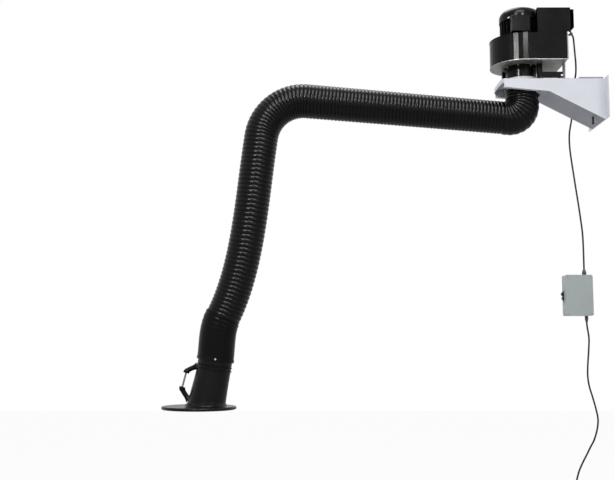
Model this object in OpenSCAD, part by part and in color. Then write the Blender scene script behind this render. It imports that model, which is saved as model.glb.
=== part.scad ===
// Wall-mounted fume extraction arm: a sheet-metal bracket carries a fan, and a ribbed hose on a jointed
// inner frame hangs below it and ends in a hood. X runs towards the wall, Y away from the viewer, Z up.
// The origin is the middle of the wall plate's back face. All sizes are in millimetres.

/* [Bracket] */
// Width of the wall plate
plate_w = 345; // [320:1:400]
// Height of the wall plate
plate_h = 211; // [206:1:211]
// Thickness of the wall plate
plate_t = 5; // [4:0.5:8]
// Distance between the wall bolts, sideways
bolt_pitch_w = 290; // [260:1:300]
// Distance between the wall bolts, up and down
bolt_pitch_h = 140; // [100:1:160]
// Radius of the wall bolt holes
bolt_hole_r = 5.5; // [4:0.5:7]
// Width of the bracket over its side panels
bracket_w = 230; // [226:1:240]
// Thickness of the sheet metal
sheet_t = 3; // [2:0.5:4]
// Height of the deck above the middle of the wall plate
deck_z = 119; // [110:1:119]
// Reach of the side panels from the wall
panel_reach = 511; // [490:1:520]
// Length of the chamfered nose beyond the side panels
nose_len = 12; // [8:1:40]
// Width of the nose at its front edge
nose_w = 132; // [100:1:160]
// Depth of the nose lip below the deck
nose_drop = 22; // [10:1:30]
// Reach of the kink in the lower edge
kink_reach = 284; // [275:1:300]
// Height of the kink in the lower edge
kink_z = 54; // [50:1:58]
// Height of the lower edge at the tip
tip_z = 76; // [72:1:80]
// Height of the lower edge at the wall
heel_z = -91; // [-91:1:-70]
// Width of the return lip along the panels' lower edge
lip_w = 24; // [15:1:30]
// Length of the grey cover on the deck
cover_len = 120; // [100:1:122]
// Width of the grey cover on the deck
cover_w = 196; // [160:1:210]
// Height of the grey cover on the deck
cover_h = 12; // [8:1:16]
// Length of the cable hook under the bracket
hook_len = 34; // [25:1:45]
// Radius of the cable hook
hook_r = 5; // [3:0.5:7]

/* [Swivel] */
// Distance from the wall to the swivel axis
swivel_reach = 398; // [392:1:404]
// Outer radius of the swivel tube
tube_r = 77; // [76:0.5:77]
// Wall of the swivel tube
tube_wall = 2; // [1.5:0.5:3]
// Lower end of the swivel tube
tube_foot_z = 56; // [50:1:64]
// Outer radius of the collar on the deck
collar_r = 87.5; // [86:0.5:92]
// Height of the collar on the deck
collar_h = 20; // [16:1:26]
// Wall of the collar on the deck
collar_wall = 5; // [4:0.5:6]
// Thickness of the slip ring's flange
slip_t = 3; // [2:0.5:4]
// Thickness of the swivel tube's flange
flange_t = 4; // [3:0.5:5]

/* [Hose] */
// Radius of the hose over its ribs
hose_crest_r = 84; // [83.5:0.5:86]
// Radius of the hose between its ribs
hose_valley_r = 80.8; // [80.5:0.1:82]
// Widening of the hose from the shoulder to the elbow
hose_spread = 4; // [0:0.5:5]
// Radius of the hose's bore
hose_bore_r = 79.2; // [79.1:0.1:79.4]
// Rib spacing on the inner arm and the shoulder
rib_pitch = 18.4; // [16:0.2:24]
// Rib spacing on the hanging outer arm
hang_pitch = 22; // [18:0.5:28]
// Top end of the hose under the deck
hose_top_z = 104; // [96:1:108]
// Smallest radius inside the shoulder fold
fold_r = 12; // [8:1:20]
// Bulge of the hose on the outside of the shoulder fold
fold_bulge = 18; // [0:1:24]
// Radius of the hose's centre line at the elbow
elbow_r = 218; // [190:1:250]
// Width of the hose clamps
clamp_w = 14; // [10:1:20]
// Thickness of the hose clamps
clamp_t = 1.6; // [1:0.2:3]

/* [Arm] */
// Depth of the shoulder pivot below the middle of the wall plate
shoulder_drop = 66.5; // [60:0.5:72]
// Rise of the inner arm above level, in degrees
inner_rise = 4.94; // [3:0.01:8]
// Length of the hose's inner stretch
inner_len = 1010; // [800:1:1200]
// Lean of the outer arm's top from upright, in degrees
outer_lean = 8.6; // [6:0.1:14]
// Distance of the elbow pivot beyond the length of the hose's inner stretch
elbow_past = 266; // [240:1:290]
// Drop of the outer hose from its top to its lower end
outer_drop = 948; // [800:1:1100]
// Outward run of the outer hose from its top to its lower end
outer_run = 200; // [150:1:260]
// Lean of the outer hose's lower end from upright, in degrees
outer_end_lean = 28; // [10:1:30]
// Width of the link tubes
link_w = 26; // [22:1:30]
// Height of the link tubes
link_h = 30; // [24:1:34]
// Wall of the link tubes
link_wall = 2.5; // [2:0.5:4]
// Radius of the pivot pins
pin_r = 8; // [6:0.5:10]
// Radius of the link eyes
eye_r = 20; // [17:1:24]
// Thickness of the friction discs
disc_t = 4; // [3:0.5:6]
// Thickness of the fork cheeks
cheek_t = 6; // [4:0.5:8]

/* [Hood] */
// Distance from the hose's lower end down to the hood pivot
hood_pivot_drop = 87; // [80:1:100]
// Distance from the hose's lower end outwards to the hood pivot
hood_pivot_run = 9; // [4:1:24]
// Lean of the hood's neck from upright, in degrees
neck_lean = 8.5; // [0:0.5:12]
// Outer radius of the hood's neck
neck_r = 86; // [85:0.5:88]
// Wall of the hood
hood_wall = 3.5; // [3:0.5:5]
// Outer radius of the smooth sleeve
sleeve_r = 92; // [91:0.5:95]
// Wall of the smooth sleeve
sleeve_wall = 3.5; // [3:0.5:4]
// Height of the hood from its neck to the flange's underside
hood_h = 217; // [190:1:240]
// Outward shift of the hood's mouth from the neck
hood_shift = 37; // [20:1:50]
// Outer radius of the hood's mouth
mouth_r = 103; // [98:1:110]
// Outer radius of the flange
rim_r = 187; // [175:1:200]
// Outward shift of the flange from the mouth
rim_shift = 34; // [0:1:45]
// Thickness of the flange
rim_t = 16; // [8:1:18]
// Radius of the handle's arms
handle_arm_r = 11; // [9:0.5:12]
// Radius of the handle's rod
handle_rod_r = 5; // [4:0.5:6]

/* [Fan] */
// Height of the fan casing
scroll_h = 137; // [120:1:150]
// Height of the fan casing's underside above the deck
scroll_lift = 84; // [78:1:100]
// Radius of the casing at its tongue
scroll_r0 = 148; // [140:1:150]
// Radius of the casing where the outlet starts
scroll_r1 = 165; // [156:1:168]
// Angle of the tongue, in degrees
tongue_angle = 24; // [18:1:30]
// Distance from the swivel axis to the outlet
outlet_reach = 197; // [190:1:199]
// Width of the outlet flange's side lips
outlet_lip = 16; // [14:1:18]
// Distance of the outlet's bolts from the casing's top and bottom
outlet_bolt_in = 20; // [16:1:40]
// Radius of the outlet's bolt holes
outlet_hole_r = 4; // [3:0.5:4.5]
// Radius of the inlet spigot
spigot_r = 78; // [76:0.5:80]
// Radius of the impeller
impeller_r = 118; // [104:1:124]
// Height of the impeller
impeller_h = 84; // [60:1:96]
// Number of impeller blades
blades = 10; // [6:1:14]
// Turn of each blade from the radius, in degrees
blade_turn = 40; // [30:1:50]

/* [Motor] */
// Radius of the motor over its fins
motor_r = 104; // [94:1:106]
// Height of the finned motor body
motor_h = 96; // [94:1:110]
// Height of the drive end shield
shield_h = 14; // [10:1:18]
// Number of cooling fins
fins = 28; // [16:2:36]
// Height of the motor's fan cowl
cowl_h = 64; // [55:1:75]
// Radius of the cowl's rounded top edge
dome_r = 42; // [30:1:50]
// Radius of the motor shaft
shaft_r = 12; // [10:0.5:14]
// Width of the terminal box
terminal_w = 90; // [70:1:94]
// Height of the terminal box
terminal_h = 82; // [70:1:83]
// Depth of the terminal box with its lid
terminal_d = 44; // [34:1:50]

/* [Starter] */
// Width of the starter's front cover
starter_w = 168; // [150:1:175]
// Height of the starter
starter_h = 142; // [120:1:150]
// Depth of the starter's front cover
starter_lid_d = 27; // [20:1:28]
// Width of the starter's base
starter_base_w = 135; // [120:1:136]
// Depth of the starter's base
starter_base_d = 73; // [60:1:74]
// Side of the chamfer on the base's lower corner
starter_chamfer = 46; // [30:1:50]

/* [Control box] */
// Width of the control box
box_w = 141; // [130:1:155]
// Height of the control box
box_h = 211; // [190:1:230]
// Depth of the control box's base
box_base_d = 58; // [48:1:70]
// Depth of the control box's lid
box_lid_d = 12; // [10:1:16]
// Wall of the control box
box_wall = 3; // [2.5:0.5:4]
// Length of the rocker switch
rocker_len = 48; // [40:1:52]
// Width of the rocker switch
rocker_w = 22; // [16:1:26]
// Tilt of the rocker at rest, in degrees
rocker_tilt = 7; // [4:1:8]
// Diameter of the leads
lead_d = 9; // [8:0.5:9]

/* [Hidden] */

$fn = 64;
over = 1;
// Radial clearance of a running fit, gap between bodies and gap at a seat
run = 0.05;
gap = 0.3;
seat = 0.2;

// Bracket
half_w = bracket_w / 2;
swivel_x = -swivel_reach;
tip_x = -panel_reach;
flat_run = 56;
flat_rise = 5;
chamfer_x = tip_x - nose_len;
nose_mid_share = 0.66;
nose_mid_x = tip_x - nose_mid_share * nose_len;
nose_mid_in = 12;
deck_hole_r = tube_r + 4;
// Room between the bracket's bottom and the hose
hose_room = 6;

// Swivel
collar_bore_r = collar_r - collar_wall;
slip_top = deck_z + slip_t;
tube_top = slip_top + run + flange_t;
shoulder_z = -shoulder_drop;
yoke_z = tube_foot_z + 6;
yoke_t = 10;
yoke_w = 40;

// Hose centre line in the XZ plane; a heading is the angle of travel above +X, in degrees
hose_sides = 14;
bore_rings = 10;
fold_centre_r = hose_crest_r + fold_r;
inner_heading = 180 - inner_rise;
inner_dir = [cos(inner_heading), sin(inner_heading)];
inner_up = [sin(inner_rise), cos(inner_rise)];
fold_turn = 90 + inner_rise;
fold_x = swivel_x - fold_centre_r;
fold_z = shoulder_z + (fold_centre_r + (swivel_x - fold_x) * inner_up[0]) / inner_up[1];
fold_c = [fold_x, fold_z];
inner_start = fold_c - fold_centre_r * inner_up;
inner_end = inner_start + inner_len * inner_dir;
elbow_c = inner_end - elbow_r * inner_up;
elbow_turn = 90 - outer_lean + inner_rise;
outer_start = elbow_c + elbow_r * [-cos(outer_lean), sin(outer_lean)];
outer_end = outer_start + [-outer_run, -outer_drop];
outer_pull = outer_drop / 3;
end_pull_share = 0.94;
outer_path = [outer_start - gap * [sin(outer_lean), cos(outer_lean)],
    outer_start - outer_pull * [sin(outer_lean), cos(outer_lean)],
    outer_end + end_pull_share * outer_pull * [sin(outer_end_lean), cos(outer_end_lean)], outer_end];
hood_pivot = outer_end - [hood_pivot_run, hood_pivot_drop];
neck_dir = [-sin(neck_lean), -cos(neck_lean)];
elbow_drop_share = 0.0483;
shoulder = [swivel_x, shoulder_z];
elbow_reach = inner_len + elbow_past;
elbow = shoulder + elbow_reach * (inner_dir - elbow_drop_share * inner_up);

// Pivots, from the middle outwards
eye_half = link_w / 2;
cheek_in = eye_half + disc_t + gap;
cheek_out = cheek_in + cheek_t;
head_t = 6;
head_r = 13;
fork_root = 50;
root_len = 20;
knuckle_in = eye_half + gap;
knuckle_out = knuckle_in + cheek_t;

// Hood, measured down the neck from its pivot
collar_top = 92;
collar_show = 111;
collar_foot = 132;
neck_top = 133;
neck_foot = 159;
neck_bore_r = neck_r - hood_wall;
spoke_w = 8;
hub_r = 14;
collar_hub_s = 116;
spider_hub_s = 137;
hub_len = 11;
stem_foot = 158;
hood_sides = 48;
neck_end = hood_pivot + neck_foot * neck_dir;
rim_z = hood_pivot[1] - neck_top - hood_h;
mouth_c = [neck_end[0] - hood_shift, rim_z + rim_t / 2];

// Fan
scroll_z = deck_z + scroll_lift;
scroll_top_z = scroll_z + scroll_h;
wrap_t = 2;
plate_lip = 1.5;
inlet_r = spigot_r - 3;
scroll_steps = 30;
tongue_y = scroll_r0 * sin(tongue_angle);
outlet_x = swivel_x + outlet_reach;
spigot_foot = tube_top + over;
strip_w = 50;
strip_foot = 22;
foot_h = 9;
foot_r = 12;
blade_root_share = 0.64;
blade_len_share = 0.38;
rail_h = 27;
rail_w = 22;
rail_y = 100;
rail_start = -335;
rail_end = -211;
back_rail_start = -480;
post_w = 24;
post_y = 84;

// Motor
motor_z = scroll_top_z + sheet_t + shield_h;
motor_top = motor_z + motor_h;
cowl_r = motor_r + seat + sheet_t;
pad_in = 4;
fin_len = 10;
shell_t = 6;
bearing_w = 12;
bearing_r = 26;
air_gap = 0.5;
rotor_r = 48;
terminal_x = -427;
terminal_z = motor_z;
terminal_back = motor_r + seat;
shaft_foot = scroll_z + 24;
shaft_top = motor_top + 34;

// Starter
starter_x = -336;
starter_lift = 3;
starter_z = scroll_top_z + sheet_t + starter_lift;
starter_front = 120;
starter_back_x = -143;
button_x_share = 0.73;
button_z_share = 0.08;
gland_y = -56;
gland_r = 9;
gland_len = 16;
top_gland_r = 11;

// Control box and the leads
box_x = -34;
box_top = -861;
box_y = 104;
lead_y = 132;
gland_x = -66;
low_gland_x = -61;
rocker_z = -970;
rocker_pin_r = 2;
rocker_play = 2;
rocker_depth = 9;
bezel_w = 5;
boss_r = 16;
corner_r = 9;
corner_steps = 4;
boss_in = 41;
boss_low_share = 0.28;
boss_step_share = 0.22;
plug_r = 17;
plug_len = 44;
upper_route = [[-154, -56, 375.5], [-146, -56, 367.5], [-140.5, -56, 357], [-137.5, -56, 344],
    [-136.5, -57, 328], [-135, -58, 298], [-133, -59, 260], [-131, -60, 225], [-130, -58, 194],
    [-129.5, -51, 165], [-130, -36, 141.5], [-130.5, -12, 127.5], [-131, 20, 125], [-131, 55, 126],
    [-131, 78, 130.5], [-130.5, 94, 132.5], [-130, 111, 129], [-129, 125, 118], [-127, 131.5, 102],
    [-122, 132, 70], [-114, 132, 20],
    [-106, 132, -27], [-119, 132, -99], [-122, 132, -154], [-118, 132, -220], [-105, 132, -329],
    [-94, 132, -416], [-83, 132, -502], [-75, 132, -571], [-68, 132, -642], [-66, 132, -726],
    [-66, 132, -790], [-66, 132, -850]];
lower_route = [[-61, 132, -1085], [-61, 132, -1104], [-59, 132, -1129], [-52, 132, -1185],
    [-55, 132, -1245], [-63, 132, -1333], [-64, 132, -1388], [-57, 132, -1437], [-43, 132, -1487],
    [-27, 132, -1550], [-19, 132, -1600], [-25, 132, -1650], [-42, 132, -1703], [-62, 132, -1739],
    [-81, 132, -1775], [-105, 132, -1819], [-124, 132, -1860], [-136, 132, -1900],
    [-140, 132, -1920], [-140, 132, -1940]];
lead_rings = 39;
lead_step = 0.01;
lead_sides = 8;

// Two-dimensional helpers
function bez(p, t) = pow(1 - t, 3) * p[0] + 3 * t * pow(1 - t, 2) * p[1]
    + 3 * t * t * (1 - t) * p[2] + pow(t, 3) * p[3];
function slope(p, t) = pow(1 - t, 2) * (p[1] - p[0]) + 2 * t * (1 - t) * (p[2] - p[1])
    + t * t * (p[3] - p[2]);
function heading(v) = atan2(v[1], v[0]);

// One ring of points round a centre on the centre line, square to its heading
function ring(c, head, r, ry, sides) = [for (i = [0 : sides - 1]) let (a = 360 * i / sides)
    [c[0] - r * cos(a) * sin(head), ry * sin(a), c[1] + r * cos(a) * cos(head)]];

// Triangles between two neighbouring rings that start at points a and b
function band(a, b, sides, flip) = [for (i = [0 : sides - 1]) let (j = (i + 1) % sides)
    each flip ? [[a + i, b + i, a + j], [a + j, b + i, b + j]]
              : [[a + i, a + j, b + i], [a + j, b + j, b + i]]];

// A pipe skinned over outer rings and inner rings, closed at both ends
module pipe(outer, inner, sides) {
    m = len(outer);
    n = len(inner);
    base = m * sides;
    points = concat([for (r = outer) each r], [for (r = inner) each r]);
    faces = concat(
        [for (k = [0 : m - 2]) each band(k * sides, (k + 1) * sides, sides, false)],
        [for (k = [0 : n - 2]) each band(base + k * sides, base + (k + 1) * sides, sides, true)],
        band(0, base, sides, true),
        band(base - sides, base + (n - 1) * sides, sides, false));
    polyhedron(points, faces, convexity = 10);
}

// Radius over the ribs: the rings alternate between the crest and the valley
function rib_r(k, rings) = k == 0 || k == rings || k % 2 == 0 ? hose_valley_r : hose_crest_r;

// A rod between two points of the XZ plane
module rod(p, q, r) {
    d = q - p;
    translate([p[0], 0, p[1]]) rotate([0, 90 - heading(d), 0]) cylinder(r = r, h = norm(d));
}

// A cylinder along Y, centred on a point of the XZ plane
module across(p, r, from, to) {
    translate([p[0], from, p[1]]) rotate([-90, 0, 0]) cylinder(r = r, h = to - from);
}

// A tube about Z
module tube(r, bore, h) {
    difference() {
        cylinder(r = r, h = h);
        translate([0, 0, -over]) cylinder(r = bore, h = h + 2 * over);
    }
}

// An outline in the XZ plane, pushed along Y
module side_sheet(outline, from, to) {
    translate([0, to, 0]) rotate([90, 0, 0]) linear_extrude(to - from) polygon(outline);
}

// The bracket's sheets
panel_outline = [[-plate_t, deck_z - sheet_t], [-plate_t, heel_z], [-kink_reach, kink_z],
    [-kink_reach - flat_run, kink_z + flat_rise], [tip_x, tip_z], [tip_x, deck_z - sheet_t]];

module wall_plate() {
    color("white") difference() {
        translate([-plate_t, -plate_w / 2, deck_z - plate_h]) cube([plate_t, plate_w, plate_h]);
        for (y = [-1, 1], z = [-1, 1])
            translate([-plate_t - over, y * bolt_pitch_w / 2, z * bolt_pitch_h / 2])
                rotate([0, 90, 0]) cylinder(r = bolt_hole_r, h = plate_t + 2 * over);
    }
}

module side_panel() {
    side_sheet(panel_outline, -half_w, -half_w + sheet_t);
    lip = [[-kink_reach - flat_run, kink_z + flat_rise], [tip_x, tip_z], [tip_x, tip_z + sheet_t],
        [-kink_reach - flat_run, kink_z + flat_rise + sheet_t]];
    side_sheet(lip, -half_w, -half_w + lip_w);
}

module side_panel_front() {
    color("gainsboro") side_panel();
}

module side_panel_back() {
    color("gainsboro") mirror([0, 1, 0]) side_panel();
}

module slanted_bottom() {
    outline = [[-plate_t, heel_z], [-kink_reach, kink_z], [-kink_reach - flat_run, kink_z + flat_rise],
        [-kink_reach - flat_run, kink_z + flat_rise + sheet_t], [-kink_reach, kink_z + sheet_t],
        [-plate_t, heel_z + sheet_t]];
    color("gray") difference() {
        side_sheet(outline, -half_w + sheet_t, half_w - sheet_t);
        translate([swivel_x, 0, 0]) cylinder(r = hose_crest_r + hose_room, h = deck_z);
    }
}

// The deck's front edge, set in from its outside
function nose(inset) = [[tip_x, inset - half_w], [nose_mid_x, inset + nose_mid_in - half_w],
    [chamfer_x, inset - nose_w / 2], [chamfer_x, nose_w / 2 - inset],
    [nose_mid_x, half_w - nose_mid_in - inset], [tip_x, half_w - inset]];

module deck_plate() {
    color("gainsboro") {
        difference() {
            translate([0, 0, deck_z - sheet_t]) linear_extrude(sheet_t)
                polygon(concat([[-plate_t, -half_w]], nose(0), [[-plate_t, half_w]]));
            translate([swivel_x, 0, deck_z - sheet_t - over])
                cylinder(r = deck_hole_r, h = sheet_t + 2 * over);
        }
        translate([0, 0, deck_z - nose_drop]) difference() {
            linear_extrude(nose_drop - sheet_t) polygon(nose(0));
            translate([sheet_t, 0, -over]) linear_extrude(nose_drop - sheet_t + 2 * over)
                polygon(nose(sheet_t));
        }
    }
}

module deck_collar() {
    color("silver") translate([swivel_x, 0, deck_z]) tube(collar_r, collar_bore_r, collar_h);
}

module slip_ring() {
    color("ivory") translate([swivel_x, 0, 0]) {
        translate([0, 0, deck_z - sheet_t]) tube(deck_hole_r - seat, tube_r + run, sheet_t);
        translate([0, 0, deck_z]) tube(collar_bore_r - seat, tube_r + run, slip_t);
    }
}

module top_cover() {
    color("gray") translate([-plate_t - cover_len, -cover_w / 2, deck_z])
        cube([cover_len, cover_w, cover_h]);
}

module cable_hook() {
    hook_x = -52;
    hook_y = -60;
    rise = (kink_z - heel_z) / (kink_reach - plate_t);
    top = heel_z - (hook_x + plate_t) * rise;
    color("black") translate([hook_x, hook_y, top - hook_len]) {
        difference() {
            cylinder(r = hook_r, h = hook_len + hook_r);
            translate([0, 0, hook_len]) rotate([0, atan(rise), 0])
                translate([-hook_len, -hook_len, 0]) cube(2 * hook_len);
        }
        sphere(r = hook_r + over);
    }
}

// The fan, drawn about the swivel axis
function scroll_at(a, grow) = let (r = grow + scroll_r0
    + (scroll_r1 - scroll_r0) * (a - tongue_angle) / (270 - tongue_angle)) [r * cos(a), r * sin(a)];
function scroll_points(grow) = concat(
    [for (i = [0 : scroll_steps])
        scroll_at(tongue_angle + (270 - tongue_angle) * i / scroll_steps, grow)],
    [[outlet_reach, -scroll_r1 - grow], [outlet_reach, tongue_y + grow]]);

module fan_spigot() {
    color("black") translate([swivel_x, 0, 0]) {
        translate([0, 0, spigot_foot]) tube(spigot_r, inlet_r, scroll_z - spigot_foot);
        translate([0, 0, scroll_z - sheet_t]) tube(collar_r, inlet_r, sheet_t);
    }
}

module scroll_wrap() {
    color("black") translate([swivel_x, 0, scroll_z + sheet_t]) linear_extrude(scroll_h - sheet_t)
        difference() {
            polygon(scroll_points(0));
            polygon(scroll_points(-wrap_t));
            translate([outlet_reach - wrap_t - over, wrap_t - scroll_r1])
                square([wrap_t + 2 * over, scroll_r1 + tongue_y - 2 * wrap_t]);
        }
}

module scroll_bottom() {
    color("darkgray") translate([swivel_x, 0, scroll_z]) linear_extrude(sheet_t) difference() {
        polygon(scroll_points(plate_lip));
        circle(r = inlet_r);
        translate([outlet_reach - over, -scroll_r1 - 2 * plate_lip])
            square([2 * plate_lip, 2 * scroll_r1]);
    }
}

module scroll_top() {
    color("black") translate([swivel_x, 0, scroll_top_z]) linear_extrude(sheet_t) difference() {
        polygon(scroll_points(plate_lip));
        circle(r = shaft_r + sheet_t);
        translate([outlet_reach - over, -scroll_r1 - 2 * plate_lip])
            square([2 * plate_lip, 2 * scroll_r1]);
    }
}

module outlet_flange() {
    low = -scroll_r1 - outlet_lip;
    high = tongue_y + outlet_lip;
    color("silver") difference() {
        translate([outlet_x, low, scroll_z]) cube([sheet_t, high - low, scroll_h + sheet_t]);
        translate([outlet_x - over, wrap_t - scroll_r1, scroll_z + sheet_t])
            cube([sheet_t + 2 * over, scroll_r1 + tongue_y - 2 * wrap_t, scroll_h - sheet_t]);
        for (y = [low + outlet_lip / 2, high - outlet_lip / 2],
             z = [scroll_z + outlet_bolt_in, scroll_top_z - outlet_bolt_in])
            translate([outlet_x - over, y, z]) rotate([0, 90, 0])
                cylinder(r = outlet_hole_r, h = sheet_t + 2 * over);
    }
}

// The strip that holds the outlet flange up from the deck, in the flange's own plane
module outlet_foot() {
    color("silver") translate([outlet_x, -half_w + sheet_t, deck_z]) {
        cube([sheet_t, strip_w, scroll_z - deck_z]);
        cube([strip_foot, strip_w, sheet_t]);
    }
}

module rail(start, y) {
    low = deck_z + foot_h;
    translate([start, y - rail_w / 2, low]) cube([rail_end - start, rail_w, rail_h]);
    translate([start, sign(y) * post_y - rail_w / 2, low])
        cube([post_w, rail_w, scroll_z - low]);
}

module foot_rails() {
    color("black") {
        rail(rail_start, -rail_y);
        rail(back_rail_start, rail_y);
    }
}

module rubber_feet() {
    color("dimgray") for (p = [[rail_start, -1], [back_rail_start, 1]],
        x = [p[0] + foot_r, rail_end - foot_r]) translate([x, p[1] * rail_y, deck_z])
        cylinder(r = foot_r, h = foot_h, $fn = 32);
}

// The motor
module motor_frame() {
    color("black") translate([swivel_x, 0, motor_z]) difference() {
        union() {
            cylinder(r = motor_r - fin_len, h = motor_h);
            for (i = [0 : fins - 1]) rotate([0, 0, 360 * i / fins])
                translate([motor_r / 2, -sheet_t / 2, over])
                    cube([motor_r / 2, sheet_t, motor_h - 2 * over]);
            translate([terminal_x - swivel_x - terminal_w / 2 + pad_in, -motor_r - seat, 0])
                cube([terminal_w - 2 * pad_in, motor_r / 2, terminal_h - pad_in]);
        }
        translate([0, 0, -over]) cylinder(r = motor_r - fin_len - shell_t, h = motor_h + 2 * over);
    }
}

module stator_core() {
    color("silver") translate([swivel_x, 0, motor_z + motor_h / 5])
        tube(motor_r - fin_len - shell_t - seat, rotor_r + air_gap, motor_h * 3 / 5);
}

module drive_shield() {
    color("black") translate([swivel_x, 0, motor_z - shield_h]) difference() {
        cylinder(r = motor_r, h = shield_h);
        translate([0, 0, shield_h - bearing_w]) cylinder(r = bearing_r, h = bearing_w + over);
        translate([0, 0, -over]) cylinder(r = shaft_r + sheet_t, h = shield_h + 2 * over);
    }
}

module motor_bearings() {
    color("silver") for (z = [motor_z - bearing_w, motor_top - bearing_w])
        translate([swivel_x, 0, z]) tube(bearing_r - run, shaft_r + run, bearing_w);
}

module rear_shield() {
    color("dimgray") translate([swivel_x, 0, motor_top - bearing_w])
        tube(motor_r - fin_len - shell_t - seat, bearing_r, bearing_w);
}

module fan_cowl() {
    slots = 12;
    slot_w = 7;
    low = motor_top - 10;
    color("black") translate([swivel_x, 0, low]) difference() {
        rotate_extrude() {
            translate([cowl_r - sheet_t, 0]) square([sheet_t, cowl_h - dome_r]);
            translate([cowl_r - dome_r, cowl_h - dome_r]) intersection() {
                difference() {
                    circle(r = dome_r);
                    circle(r = dome_r - sheet_t);
                }
                square(dome_r);
            }
            translate([shaft_r, cowl_h - sheet_t]) square([cowl_r - dome_r - shaft_r, sheet_t]);
        }
        for (i = [0 : slots - 1]) rotate([0, 0, 360 * (i + 0.5) / slots])
            translate([shaft_r * 2, -slot_w / 2, cowl_h - sheet_t - over])
                cube([cowl_r - dome_r - shaft_r * 2, slot_w, sheet_t + 2 * over]);
    }
}

module terminal_box() {
    color("black") translate([terminal_x - terminal_w / 2, -terminal_back - terminal_d * 3 / 4, terminal_z])
        difference() {
            cube([terminal_w, terminal_d * 3 / 4, terminal_h]);
            translate([sheet_t, -over, sheet_t])
                cube([terminal_w - 2 * sheet_t, terminal_d / 2, terminal_h - 2 * sheet_t]);
        }
}

module terminal_lid() {
    screw_in = 8;
    color("black") translate([terminal_x - terminal_w / 2, -terminal_back - terminal_d, terminal_z]) {
        cube([terminal_w, terminal_d / 4, terminal_h]);
        for (x = [screw_in, terminal_w - screw_in], z = [screw_in, terminal_h - screw_in])
            translate([x, 0, z]) rotate([90, 0, 0]) cylinder(r = screw_in / 2, h = sheet_t, $fn = 24);
    }
}

// The rotor, which spins with the fan wheel
module motor_shaft() {
    color("silver") translate([swivel_x, 0, shaft_foot])
        cylinder(r = shaft_r, h = shaft_top - shaft_foot);
}

module rotor_core() {
    color("dimgray") translate([swivel_x, 0, motor_z + motor_h / 5])
        tube(rotor_r, shaft_r, motor_h * 3 / 5);
}

module impeller() {
    hub_h = 30;
    back = scroll_top_z - 24;
    color("silver") translate([swivel_x, 0, back - impeller_h]) {
        translate([0, 0, impeller_h - sheet_t]) tube(impeller_r, shaft_r, sheet_t);
        translate([0, 0, impeller_h - hub_h]) tube(shaft_r * 2, shaft_r, hub_h);
        tube(impeller_r, inlet_r, sheet_t);
        for (i = [0 : blades - 1]) rotate([0, 0, 360 * i / blades])
            translate([impeller_r * blade_root_share, 0, over]) rotate([0, 0, blade_turn])
                cube([impeller_r * blade_len_share, sheet_t, impeller_h - 2 * over]);
    }
}

module cooling_fan() {
    vanes = 8;
    low = motor_top + 4;
    vane_h = 26;
    color("dimgray") translate([swivel_x, 0, low]) {
        tube(2 * shaft_r, shaft_r, vane_h);
        for (i = [0 : vanes - 1]) rotate([0, 0, 360 * i / vanes])
            translate([3 * shaft_r / 2, -sheet_t / 2, 0])
                cube([cowl_r - dome_r / 2 - 3 * shaft_r / 2, sheet_t, vane_h]);
    }
}

// The starter beside the motor
starter_outline = [[starter_back_x - starter_base_w, starter_z],
    [starter_back_x - starter_chamfer, starter_z], [starter_back_x, starter_z + starter_chamfer],
    [starter_back_x, starter_z + starter_h], [starter_back_x - starter_base_w, starter_z + starter_h]];

module starter_box() {
    back_y = starter_lid_d - starter_front;
    color("black") {
        difference() {
            side_sheet(starter_outline, back_y, back_y + starter_base_d);
            side_sheet([for (p = starter_outline) let (c = [starter_back_x - starter_base_w / 2,
                starter_z + starter_h / 2]) c + (p - c) * (1 - 2 * sheet_t / starter_h)],
                back_y - over, back_y + starter_base_d - sheet_t);
        }
        for (share = [0.55, 0.9]) translate([starter_back_x - starter_base_w * share,
            back_y + starter_base_d / 2, scroll_top_z + sheet_t])
            cylinder(r = foot_r / 2, h = starter_z - scroll_top_z - sheet_t, $fn = 32);
    }
}

module starter_lid() {
    button_r = 8;
    color("black") {
        translate([starter_x, -starter_front, starter_z]) cube([starter_w, starter_lid_d, starter_h]);
        translate([starter_x + starter_w * button_x_share, -starter_front,
            starter_z + starter_h * button_z_share])
            rotate([90, 0, 0]) cylinder(r = button_r, h = sheet_t, $fn = 32);
    }
}

module starter_gland() {
    along_share = 0.7;
    color("lightgray") translate([starter_back_x - starter_chamfer * (1 - along_share), gland_y,
        starter_z + starter_chamfer * along_share]) rotate([0, 135, 0])
        tube(gland_r, lead_d / 2 + gap, gland_len);
}

// The swivel below the deck
module swivel_tube() {
    color("silver") translate([swivel_x, 0, 0]) {
        translate([0, 0, tube_foot_z])
            tube(tube_r, tube_r - tube_wall, slip_top + run - tube_foot_z);
        translate([0, 0, slip_top + run]) tube(collar_bore_r - gap, tube_r - tube_wall, flange_t);
    }
}

module shoulder_yoke() {
    color("dimgray") difference() {
        union() {
            intersection() {
                translate([swivel_x - yoke_w / 2, -tube_r, yoke_z]) cube([yoke_w, 2 * tube_r, yoke_t]);
                translate([swivel_x, 0, 0])
                    cylinder(r = tube_r - tube_wall - seat, h = yoke_z + yoke_t);
            }
            for (y = [-cheek_out, cheek_in]) {
                across(shoulder, yoke_w / 2, y, y + cheek_t);
                translate([swivel_x - yoke_w / 2, y, shoulder_z])
                    cube([yoke_w, cheek_t, yoke_z - shoulder_z]);
            }
        }
        across(shoulder, pin_r + run, -cheek_out - over, cheek_out + over);
    }
}

// A pivot bolt with its head at the front and its nut at the back
module pivot_pin(p, half) {
    color("silver") {
        across(p, pin_r, -half, half);
        across(p, head_r, -half - head_t, -half);
        translate([p[0], half, p[1]]) rotate([-90, 0, 0]) cylinder(r = head_r, h = head_t, $fn = 6);
    }
}

module shoulder_pin() {
    pivot_pin(shoulder, cheek_out + seat);
}

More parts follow.
